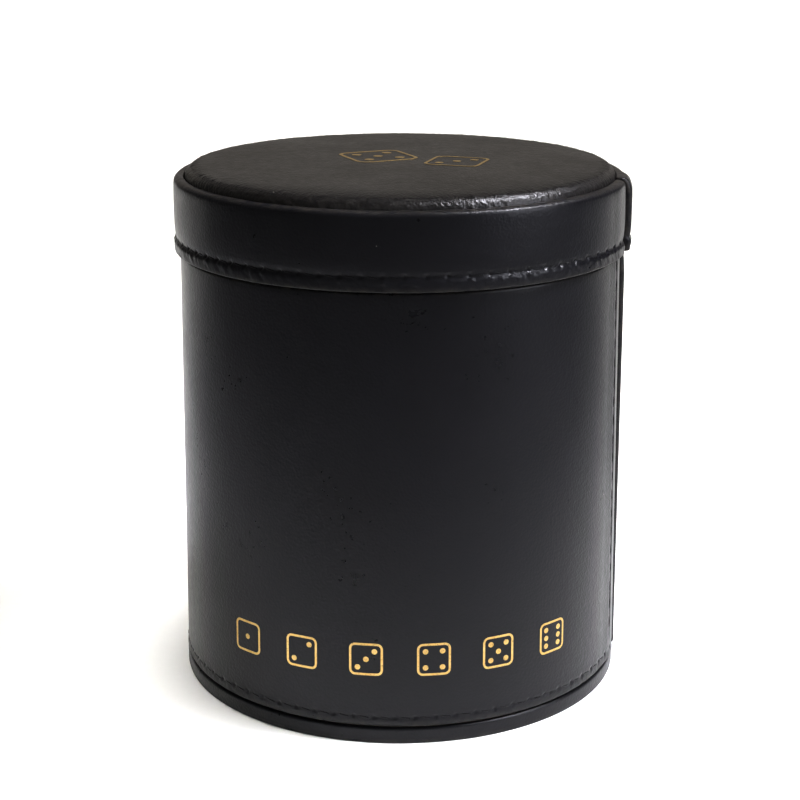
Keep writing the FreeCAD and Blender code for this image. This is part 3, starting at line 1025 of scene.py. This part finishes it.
@dataclass
class Neck:
    """The leather-covered collar inside the cup, with the cup's linings."""

    steps: int = 240
    roll: float = 0.4

    def make_collar_leather(self) -> bpy.types.Object:
        """Makes the leather on the neck, turned down inside."""
        low, high = box_mm("neck_wrap")
        outer, bottom, top = high.x, low.z, high.z
        collar = box_mm("neck_collar")[1]
        leaf = box_mm("wall_lining")[1]
        face = leaf.x - 0.6
        outline = [(collar.x + 0.05, bottom), (outer, bottom)]
        outline += [(outer, z) for z in spread(bottom + 2, top - 1, 4)]
        outline += arc((outer - self.roll, top - self.roll), self.roll, 0, 90, 5)
        outline += arc((face + self.roll, top - self.roll), self.roll, 90, 180, 5)
        outline += [(face, leaf.z + 0.05), (leaf.x, leaf.z + 0.05), (leaf.x, collar.z + 0.05),
                    (collar.x + 0.05, collar.z + 0.05)]

        def shape(r: float, angle: float, z: float) -> tuple[float, float, float]:
            """Lets the turned rim waver a little."""
            along = math.radians(angle) * outer
            rim = ramp(z, top - 0.6, top) * 0.06 * ripple(along, 0, 1.0, 4)
            return r, angle, z - abs(rim)

        mesh = turned(outline, self.steps)
        shape_polar(mesh, shape)
        # the turned rim is painted paler: wear, and a painted highlight line
        mark_rub_and_highlight(mesh, lambda r, angle, z: ramp(z, top - 0.5, top))
        return make_piece("neck_leather", mesh, Finish.SIDE_LEATHER, Body.CUP,
                          ("neck_wrap",))

    def make_linings(self) -> None:
        """Makes the wall lining, the floor lining and the foam under it."""
        low, high = box_mm("wall_lining")
        outer, inner = high.x, high.x - 0.8
        outline = [(inner, low.z), (outer, low.z), (outer, high.z), (inner, high.z)]
        rows = spread(high.z, low.z, 24)[1:-1]
        outline += [(inner, z) for z in rows]

        def soft_wall(r: float, angle: float, z: float) -> tuple[float, float, float]:
            """Gives the nap's side of the lining a soft unevenness."""
            along = math.radians(angle) * inner
            weight = 1 - ramp(r, inner, outer)
            return r + weight * 0.12 * abs(ripple(along, z, 1.0, 8)), angle, z

        mesh = turned(outline, self.steps)
        shape_polar(mesh, soft_wall)
        make_piece("wall_flannel", mesh, Finish.FLANNEL, Body.CUP, ("wall_lining",))

        self.make_floor("floor_flannel", "floor_lining", Finish.FLANNEL, "flannel", 0.08)
        foam = self.make_floor("floor_foam", "floor_pad", Finish.FOAM, "foam", 0.0)

    def make_floor(self, name: str, node: str, finish: Finish, record_slot: str,
                   sink: float) -> bpy.types.Object:
        """Makes a soft disc on the floor.

        Args:
            name: the piece's name.
            node: the node that it stands for.
            finish: its finish.
            record_slot: not used.
            sink: how deep its top dips here and there.

        Returns:
            The piece.
        """
        low, high = box_mm(node)
        radius, edge = high.x, (high.z - low.z) * 0.35
        outline = [(0.0, low.z), (radius, low.z)]
        outline += arc((radius - edge, high.z - edge), edge, 0, 90, 4)
        outline += [(r, high.z) for r in spread(radius - 4, 0.0, 14)]

        def dip(r: float, angle: float, z: float) -> tuple[float, float, float]:
            """Sinks the top a little where dice have landed."""
            turn = math.radians(angle)
            worn = abs(ripple(r * math.cos(turn), r * math.sin(turn), 4.0, 11))
            return r, angle, z - sink * worn * ramp(z, low.z, high.z) * (1 - ramp(r, 36, 40))

        mesh = turned(outline, self.steps // 2)
        shape_polar(mesh, dip)
        return make_piece(name, mesh, finish, Body.CUP, (node,))

    def build(self) -> None:
        """Makes every piece of the neck and the inside."""
        self.make_collar_leather()
        self.make_linings()


# ------------------------------------------------------------------ the lid

@dataclass
class LidBand:
    """The lid's side leather, with its hem, its seam and its rounded rim."""

    radius: float = 45.85
    hem_radius: float = 46.0
    stitch_height: float = 92.3
    dip: float = 0.30
    leaf_radius: float = 43.75
    leaf: float = 0.3
    ring_radius: float = 44.8
    wrinkle: float = 0.17
    wrinkle_reach: float = 2.6
    wave: float = 0.06
    wave_size: float = 11.0
    fine_wave: float = 0.018
    fine_wave_size: float = 3.5
    rim_wave: float = 0.12
    rim_wave_size: float = 7.0
    steps: int = 1152

    def __post_init__(self) -> None:
        """Takes the heights from the frame and sets out the seam and the hem row."""
        low, high = box_mm("lid_side_band")
        self.bottom, self.rim = low.z, high.z
        self.seam = UprightSeam(near=-13.6, far=-10.4, near_rise=0.2, far_rise_foot=1.2,
                                far_rise_top=1.2, foot=self.bottom, top=self.rim)
        self.row = StitchRow(self.stitch_height, self.hem_radius - self.dip, self.seam,
                             hole=0.34, pucker=0.18, crease=0.04, swell=0.06, bead_below=1.2)

    def outline(self) -> Outline:
        """Draws the band's section, from the hem up over the rim and back down inside."""
        bead = 0.3
        lining = box_mm("lid_skirt_lining")[1].x + 0.05
        points = [(lining, self.bottom)]
        points += arc((self.hem_radius - bead, self.bottom + bead), bead, -90, 0, 6)
        valley = self.hem_radius - self.dip
        start = self.bottom + bead
        for height in spread(start + 0.25, self.stitch_height, 9):
            share = ramp(height, self.stitch_height - 1.1, self.stitch_height)
            points.append((self.hem_radius - self.dip * share, height))
        for height in spread(self.stitch_height + 0.2, self.stitch_height + 1.6, 7):
            share = ramp(height, self.stitch_height, self.stitch_height + 1.6)
            points.append((valley + (self.radius - valley) * share, height))
        round_rim = 1.15
        for height in spread(self.stitch_height + 2.2, self.rim - round_rim - 0.3, 10):
            share = (height - self.stitch_height) / (self.rim - self.stitch_height)
            points.append((self.radius + 0.10 * math.sin(math.pi * share), height))
        points += arc((self.radius - round_rim, self.rim - round_rim), round_rim, 0, 90, 9)
        inner_round = 0.3
        points += arc((self.leaf_radius + inner_round, self.rim - inner_round), inner_round,
                      90, 180, 4)
        ledge = box_mm("lid_ceiling_board")[1].z + 0.05
        ring_top = box_mm("lid_ring")[1].z + 0.05
        leaf_back = self.leaf_radius + self.leaf
        points += [(self.leaf_radius, ledge), (leaf_back, ledge), (leaf_back, ring_top),
                   (self.ring_radius, ring_top), (self.ring_radius, self.bottom + 0.5),
                   (lining, self.bottom + 0.5)]
        return points

    def shape(self, radius: float, angle: float, height: float) -> tuple[float, float, float]:
        """Shapes one point of the band: seam, stitches, creases and soft unevenness."""
        angle = self.seam.gathered(angle, self.radius)
        weight = ramp(radius, self.ring_radius, self.ring_radius + 0.5)
        if height > self.rim - 0.8:
            weight = max(weight, ramp(radius, 44.0, 44.6))
        along = math.radians(angle) * self.radius
        rim = ramp(height, self.rim - 0.5, self.rim)
        height -= rim * self.rim_wave * abs(ripple(along, 0.0, 6.0, self.rim_wave_size))
        if weight == 0:
            return radius, angle, height
        lift = self.seam.lift(angle, radius, height)
        lift += self.row.pull(angle, height)
        lift += self.row.wrinkle(angle, height, self.wrinkle, self.wrinkle_reach)
        middle = ramp(height, self.stitch_height, self.stitch_height + 3)
        lift += self.wave * middle * ripple(along, height, 1.0, self.wave_size)
        lift += self.fine_wave * middle * ripple(along, height, 2.0, self.fine_wave_size)
        return radius + weight * lift, angle, height

    def rubbed_and_edge_highlight(self, radius: float, angle: float, height: float) -> float:
        """Gives how rubbed the leather is, painted paler as wear and as a highlight line: along the
        hem, the rim and the seam's edges.
        """
        near, far = self.seam.distances(angle, radius)
        hem = 1 - ramp(height, self.bottom + 0.2, self.bottom + 1.0)
        edge = 1 - ramp(min(near, far), 0.2, 1.1)
        rim = ramp(height, self.rim - 0.9, self.rim)
        return max(hem, edge, rim * 0.8)

    def build(self) -> None:
        """Makes the band and its stitches."""
        mesh = turned(self.outline(), self.steps, self.seam.far, self.seam.sweep())
        shape_polar(mesh, self.shape)
        mark_rub_and_highlight(mesh, self.rubbed_and_edge_highlight)
        bmesh.ops.recalc_face_normals(mesh, faces=mesh.faces)
        make_piece("lid_band_leather", mesh, Finish.SIDE_LEATHER, Body.LID,
                   ("lid_side_band",))
        sewing = Sewing("lid_hem_stitches", "lid_hem_thread", Body.LID, self.row.pitch - 0.5)
        sewing.lay(hem_places(self.row))


@dataclass
class LidTop:
    """The padded top: its leather, its foam, and the flannel under the lid."""

    roll: float = 2.4
    crown: float = 0.50
    slope: float = 8.0
    leather: float = 0.85
    crease: float = 0.13
    crease_size: float = 0.5
    broad_crease: float = 0.09
    broad_crease_size: float = 1.5
    swell: float = 0.10
    swell_size: float = 13.0
    dome_wave: float = 0.07
    dome_wave_size: float = 18.0
    dome_fine_wave: float = 0.012
    dome_fine_wave_size: float = 4.5
    steps: int = 1152

    def __post_init__(self) -> None:
        """Takes the pad's size from the frame."""
        low, high = box_mm("lid_top_cover")
        self.radius, self.bottom, self.crest = high.x, low.z, high.z
        self.flat = self.radius - self.roll * (1 - math.sin(math.radians(self.slope)))
        self.fall = math.tan(math.radians(self.slope)) * self.flat / self.crown

    def crown_height(self, radius: float) -> float:
        """Gives the height of the pad's plain crown at a radius."""
        return self.crest - self.crown * (min(radius, self.flat) / self.flat) ** self.fall

    def outline(self) -> Outline:
        """Draws the top leather's section: crown, roll, edge and the flap under the board."""
        flat = self.flat
        shoulder = (self.radius - self.roll,
                    self.crown_height(flat) - self.roll * math.cos(math.radians(self.slope)))
        board = box_mm("lid_top_board")
        flap_top = board[0].z - 0.05
        inner = board[1].x + 0.05
        points = [(self.radius - 9.5, self.bottom), (self.radius - 3, self.bottom)]
        points += [(self.radius, z) for z in spread(self.bottom, shoulder[1] - 0.3, 4)]
        points += arc(shoulder, self.roll, 0, 90 - self.slope, 14)
        points += [(r, self.crown_height(r)) for r in spread(flat - 0.5, flat - 8, 14)]
        points += [(r, self.crown_height(r)) for r in spread(flat - 10, 0.0, 14)]
        points += [(r, self.crown_height(r) - self.leather) for r in spread(0.0, flat - 1, 8)]
        points += [(inner, shoulder[1] + 0.6), (inner, flap_top), (self.radius - 9.5, flap_top)]
        return points

    def shape(self, radius: float, angle: float, height: float) -> tuple[float, float, float]:
        """Shapes one point of the top leather: creases in the roll and a soft uneven crown."""
        turn = math.radians(angle)
        x, y = radius * math.cos(turn), radius * math.sin(turn)
        along = turn * self.radius
        outer = height > self.crown_height(radius) - 0.3 or radius > self.radius - 0.5
        if not outer or height < self.bottom + 1:
            return radius, angle, height
        on_roll = ramp(radius, self.flat - 2.0, self.flat + 0.8)
        slanted = along + 0.9 * height
        crease = self.crease * ripple(slanted, height * 0.5, 4.0, self.crease_size)
        crease += self.broad_crease * ripple(slanted, height * 0.5, 8.0, self.broad_crease_size)
        swell = self.swell * ripple(along, 0.0, 12.0, self.swell_size)
        radius += on_roll * (0.7 * crease + swell)
        dome = 1 - ramp(radius, self.flat - 6, self.flat)
        wave = self.dome_wave * ripple(x, y, 0.0, self.dome_wave_size)
        wave += self.dome_fine_wave * ripple(x, y, 5.0, self.dome_fine_wave_size)
        height += dome * wave
        height += on_roll * 0.7 * crease
        return min(radius, self.radius + 0.05), angle, height

    def build(self) -> None:
        """Makes the top leather, the foam and the lid's linings."""
        mesh = turned(self.outline(), self.steps)
        shape_polar(mesh, self.shape)
        # the outer edge of the roll is painted paler: wear, and a painted highlight
        mark_rub_and_highlight(mesh, lambda r, angle, z: 0.35 * ramp(r, self.radius - 3, self.radius - 1))
        top = make_piece("lid_top_leather", mesh, Finish.PAD_LEATHER, Body.LID,
                         ("lid_top_cover",))
        self.make_foam()
        self.make_linings()

    def make_foam(self) -> bpy.types.Object:
        """Makes the crowned foam under the top leather."""
        low, high = box_mm("lid_foam_pad")
        gap = 0.08
        points = [(0.0, low.z), (high.x, low.z)]
        points += [(high.x - 0.4, low.z + 0.9), (high.x - 1.2, low.z + 1.4)]
        points += [(r, self.crown_height(r) - self.leather - gap)
                   for r in spread(self.flat - 2.0, 0.0, 14)]
        mesh = turned(points, self.steps // 6)

        def settle(r: float, angle: float, z: float) -> tuple[float, float, float]:
            """Lets the foam's top settle a little unevenly."""
            turn = math.radians(angle)
            uneven = 0.05 * abs(ripple(r * math.cos(turn), r * math.sin(turn), 3.0, 10))
            return r, angle, z - uneven * ramp(z, low.z, high.z)

        shape_polar(mesh, settle)
        foam = make_piece("lid_foam", mesh, Finish.FOAM, Body.LID, ("lid_foam_pad",))
        return foam

    def make_linings(self) -> None:
        """Makes the flannel on the lid's ceiling and inside its skirt."""
        low, high = box_mm("lid_ceiling_lining")
        points = [(r, low.z) for r in spread(0.0, high.x, 16)] + [(high.x, high.z), (0.0, high.z)]

        def soft(r: float, angle: float, z: float) -> tuple[float, float, float]:
            """Gives the nap's side of the ceiling a soft unevenness."""
            turn = math.radians(angle)
            uneven = 0.12 * abs(ripple(r * math.cos(turn), r * math.sin(turn), 7.0, 9))
            return r, angle, z + uneven * (1 - ramp(z, low.z, high.z))

        mesh = turned(points, self.steps // 6)
        shape_polar(mesh, soft)
        make_piece("ceiling_flannel", mesh, Finish.FLANNEL, Body.LID,
                   ("lid_ceiling_lining",))
        low, high = box_mm("lid_skirt_lining")
        bore = high.x - 0.4
        points = [(bore, low.z), (high.x, low.z), (high.x, high.z), (bore, high.z)]
        points += [(bore, z) for z in spread(high.z, low.z, 6)[1:-1]]
        mesh = turned(points, self.steps // 4)
        make_piece("skirt_flannel", mesh, Finish.FLANNEL, Body.LID,
                   ("lid_skirt_lining",))


# ------------------------------------------------------------------ gold foil

class DieFace(Enum):
    """The pips on each face of a die, in steps from the middle."""

    ONE = ((0, 0),)
    TWO = ((-1, -1), (1, 1))
    THREE = ((-1, -1), (0, 0), (1, 1))
    FOUR = ((-1, -1), (-1, 1), (1, -1), (1, 1))
    FIVE = ((-1, -1), (-1, 1), (0, 0), (1, -1), (1, 1))
    SIX = ((-1, -1), (-1, 0), (-1, 1), (1, -1), (1, 0), (1, 1))


@dataclass
class FoilStamp:
    """Cuts flat foil shapes and lays them on the leather."""

    line: float = 0.07
    pip: float = 0.085
    offset: float = 0.25
    thickness: float = 0.03

    def cut_face(self, side: float, face: DieFace) -> bmesh.types.BMesh:
        """Cuts one die face, flat on XY about the origin.

        Args:
            side: the face's side.
            face: which face.

        Returns:
            A mesh of flat faces: an outline and its pips.
        """
        mesh = bmesh.new()
        bmesh.ops.create_grid(mesh, x_segments=1, y_segments=1, size=side / 2)
        bmesh.ops.bevel(mesh, geom=mesh.verts[:], offset=side * 0.18, offset_type="OFFSET",
                        segments=5, profile=0.5, affect="VERTICES", material=-1)
        middle = mesh.faces[:]
        bmesh.ops.inset_region(mesh, faces=middle, thickness=side * self.line, use_boundary=True,
                               use_even_offset=True)
        bmesh.ops.delete(mesh, geom=middle, context="FACES")
        for across, along in face.value:
            step = side * self.offset
            bmesh.ops.create_circle(mesh, cap_ends=True, segments=16, radius=side * self.pip,
                                    matrix=Matrix.Translation((across * step, along * step, 0)))
        for cut in spread(-side * 0.4, side * 0.4, 9):
            bmesh.ops.bisect_plane(mesh, geom=mesh.verts[:] + mesh.edges[:] + mesh.faces[:],
                                   plane_co=(cut, 0, 0), plane_no=(1, 0, 0))
        bmesh.ops.triangulate(mesh, faces=mesh.faces)
        return mesh

    def lay_on(self, whole: bmesh.types.BMesh, flat: bmesh.types.BMesh,
               place: Callable[[Vector], Vector]) -> None:
        """Lays a flat shape on a surface, as part of the whole foil.

        Args:
            whole: the foil laid so far.
            flat: the flat shape, which is used up.
            place: takes a flat point and returns its place on the surface.
        """
        for vertex in flat.verts:
            vertex.co = place(vertex.co)
        bmesh.ops.recalc_face_normals(flat, faces=flat.faces)
        scrap = bpy.data.meshes.new("scrap")
        flat.to_mesh(scrap)
        flat.free()
        whole.from_mesh(scrap)
        bpy.data.meshes.remove(scrap)

    def finish(self, whole: bmesh.types.BMesh, name: str, body: Body, node: str) -> bpy.types.Object:
        """Thickens the whole foil and makes it a piece.

        Args:
            whole: the foil, which is used up.
            name: the piece's name.
            body: the body that it moves with.
            node: the node that it stands for.

        Returns:
            The piece.
        """
        bmesh.ops.solidify(whole, geom=whole.faces[:], thickness=self.thickness)
        return make_piece(name, whole, Finish.FOIL, body, (node,), 30)


@dataclass
class CupFoil:
    """The row of six die faces stamped round the front of the cup."""

    cup: CupSide
    side: float = 6.6
    height: float = 17.4
    step: float = 16.5
    lift: float = 0.05

    def build(self) -> bpy.types.Object:
        """Makes the row."""
        stamp = FoilStamp()
        whole = bmesh.new()
        for index, face in enumerate(DieFace):
            middle = -90 + (index - 2.5) * self.step
            flat = stamp.cut_face(self.side, face)

            def place(spot: Vector, middle: float = middle) -> Vector:
                """Wraps a flat point round the wall."""
                height = self.height + spot.y
                turn = math.radians(middle) + spot.x / self.cup.wall(height)
                radius = self.cup.wall(height) + self.lift + self.swell(turn, height)
                return Vector((radius * math.cos(turn), radius * math.sin(turn), height))

            stamp.lay_on(whole, flat, place)
        return stamp.finish(whole, "cup_foil", Body.CUP, "cup_foil_motif")

    def swell(self, turn: float, height: float) -> float:
        """Follows the leather's own unevenness."""
        radius = self.cup.wall(height)
        angle = math.degrees(turn)
        return self.cup.shape(radius, angle, height)[0] - radius


@dataclass
class LidFoil:
    """The pair of die faces stamped on the lid."""

    top: LidTop
    side: float = 13.5
    lift: float = 0.05

    def build(self) -> bpy.types.Object:
        """Makes the pair."""
        stamp = FoilStamp(line=0.055, pip=0.075)
        whole = bmesh.new()
        marks = ((DieFace.FIVE, self.side, -4.5, 4.5, 24),
                 (DieFace.THREE, self.side * 0.85, 11.5, -2.5, -18))
        for face, side, across, along, turn in marks:
            flat = stamp.cut_face(side, face)
            spin = Matrix.Translation((across, along, 0)) @ Matrix.Rotation(math.radians(turn), 4, "Z")

            def place(spot: Vector, spin: Matrix = spin) -> Vector:
                """Lays a flat point on the crown."""
                on_lid = spin @ spot
                radius = math.hypot(on_lid.x, on_lid.y)
                angle = math.degrees(math.atan2(on_lid.y, on_lid.x))
                height = self.top.shape(radius, angle, self.top.crown_height(radius))[2]
                return Vector((on_lid.x, on_lid.y, height + self.lift))

            stamp.lay_on(whole, flat, place)
        return stamp.finish(whole, "lid_foil", Body.LID, "lid_foil_motif")


# ------------------------------------------------------------------ the studio

@dataclass(frozen=True)
class SoftLight:
    """One soft rectangular light: its name, place, aim, size, power and colour.

    The spread is how wide its grid lets the light fan out, and mirrored says whether glossy
    things show its reflection. Places are in metres and the power is in watts.
    """

    name: str
    place: tuple[float, float, float]
    aim: tuple[float, float, float]
    size: tuple[float, float]
    power: float
    colour: str
    spread: float = 180.0
    mirrored: bool = True

    def hang(self) -> None:
        """Makes the light and hangs it."""
        lamp = bpy.data.lights.new(self.name, "AREA")
        lamp.shape = "RECTANGLE"
        lamp.size, lamp.size_y = self.size
        lamp.energy = self.power
        lamp.spread = math.radians(self.spread)
        lamp.color = linear(self.colour)[:3]
        holder = bpy.data.objects.new(self.name, lamp)
        holder.location = self.place
        holder.visible_glossy = self.mirrored
        direction = Vector(self.aim) - Vector(self.place)
        holder.rotation_mode = "QUATERNION"
        holder.rotation_quaternion = direction.to_track_quat("-Z", "Y")
        bpy.context.scene.collection.objects.link(holder)


LIGHTS = (
    # these two light the floor from straight above, and the leather doesn't mirror them
    SoftLight("overhead", (0.02, 0.12, 0.8), (0.02, 0.12, 0), (0.30, 0.50), 0.66, "#FFFDFA",
              spread=22, mirrored=False),
    SoftLight("far_floor", (0.0, 1.28, 0.9), (0.0, 1.28, 0), (1.5, 2.16), 14.0, "#FFFDFA",
              spread=22, mirrored=False),
    # the lid's flat top mirrors this one
    SoftLight("backdrop", (0.0, 2.7, 0.62), (0.0, 0.0, 0.5), (4.0, 0.9), 4.5, "#FFF6E8"),
    # these make the streak on the lid's roll and the slow change across the side
    SoftLight("right_side", (0.62, -0.05, 0.95), (0, 0, 0.08), (0.30, 0.20), 0.7, "#F6F6FF",
              spread=30),
    SoftLight("right_window", (0.85, -0.42, 0.40), (0, 0, 0.08), (0.34, 0.6), 6.0, "#F4F5FF"),
    SoftLight("room_front", (-0.2, -1.7, 0.75), (0, 0, 0.1), (2.4, 0.9), 3.0, "#FBFAFF"),
)


@dataclass
class Studio:
    """A pale floor, soft lights and the camera."""

    floor_radius: float = 9.0
    room: str = "#F2EEE8"
    room_strength: float = 0.12
    camera_place: tuple[float, float, float] = (0.0, -0.3655, 0.1639)
    camera_pitch: float = 14.26
    lens: float = 81.5
    shift: float = -0.0875

    def make_floor(self) -> None:
        """Makes the floor, which is matt off-white paper."""
        mesh = bmesh.new()
        bmesh.ops.create_circle(mesh, cap_ends=True, segments=96, radius=self.floor_radius)
        data = bpy.data.meshes.new("floor")
        mesh.to_mesh(data)
        mesh.free()
        material, tree = start_material("white background paper, matt")
        place = add(tree, "TexCoord").outputs["Object"]
        tooth = add(tree, "TexNoise", Vector=place, Scale=per_metre(2), Detail=3.0).outputs["Fac"]
        colour = add(tree, "Mix", {"data_type": "RGBA"}, in0=tooth, in6=linear("#F4F4F3"),
                     in7=linear("#F7F7F6")).outputs[2]
        paper = add(tree, "BsdfPrincipled", Base_Color=colour, Roughness=0.9, IOR=1.45)
        add(tree, "OutputMaterial", Surface=paper.outputs[0])
        data.materials.append(material)
        floor = bpy.data.objects.new("floor", data)
        bpy.context.scene.collection.objects.link(floor)

    def make_lights(self) -> None:
        """Hangs the lights and makes the dim room round them."""
        for light in LIGHTS:
            light.hang()
        world = bpy.data.worlds.new("room")
        world.use_nodes = True
        background = world.node_tree.nodes["Background"]
        background.inputs[0].default_value = linear(self.room)
        background.inputs[1].default_value = self.room_strength
        bpy.context.scene.world = world

    def make_camera(self) -> None:
        """Makes the camera."""
        data = bpy.data.cameras.new("camera")
        data.lens = self.lens
        data.sensor_width = 36
        data.shift_y = self.shift
        camera = bpy.data.objects.new("camera", data)
        camera.location = self.camera_place
        camera.rotation_euler = (math.radians(90 - self.camera_pitch), 0, 0)
        bpy.context.scene.collection.objects.link(camera)
        bpy.context.scene.camera = camera

    def build(self) -> None:
        """Makes the whole studio."""
        self.make_camera()
        self.make_floor()
        self.make_lights()
        view = bpy.context.scene.view_settings
        view.view_transform = "Standard"
        view.look = "None"
        view.gamma = 0.8


# ------------------------------------------------------------------ the whole

BOARD_NODES = ("base_board", "core_tube", "neck_collar", "lid_ring", "lid_inner_ring",
               "lid_ceiling_board", "lid_top_board")
BACKING_NODES = ("cup_seam_backing", "lid_seam_backing")


def main() -> None:
    """Builds the studio, the cup and the lid, and dresses the nodes that stay."""
    logging.basicConfig(level=logging.INFO, format="%(message)s")
    Studio().build()
    side = CupSide()
    side.build()
    BaseDisc().build()
    Neck().build()
    LidBand().build()
    top = LidTop()
    top.build()
    CupFoil(side).build()
    LidFoil(top).build()
    for name in BOARD_NODES:
        dress_node(name, Finish.BOARD)
    for name in BACKING_NODES:
        dress_node(name, Finish.BACKING)


if __name__ == "__main__":
    main()
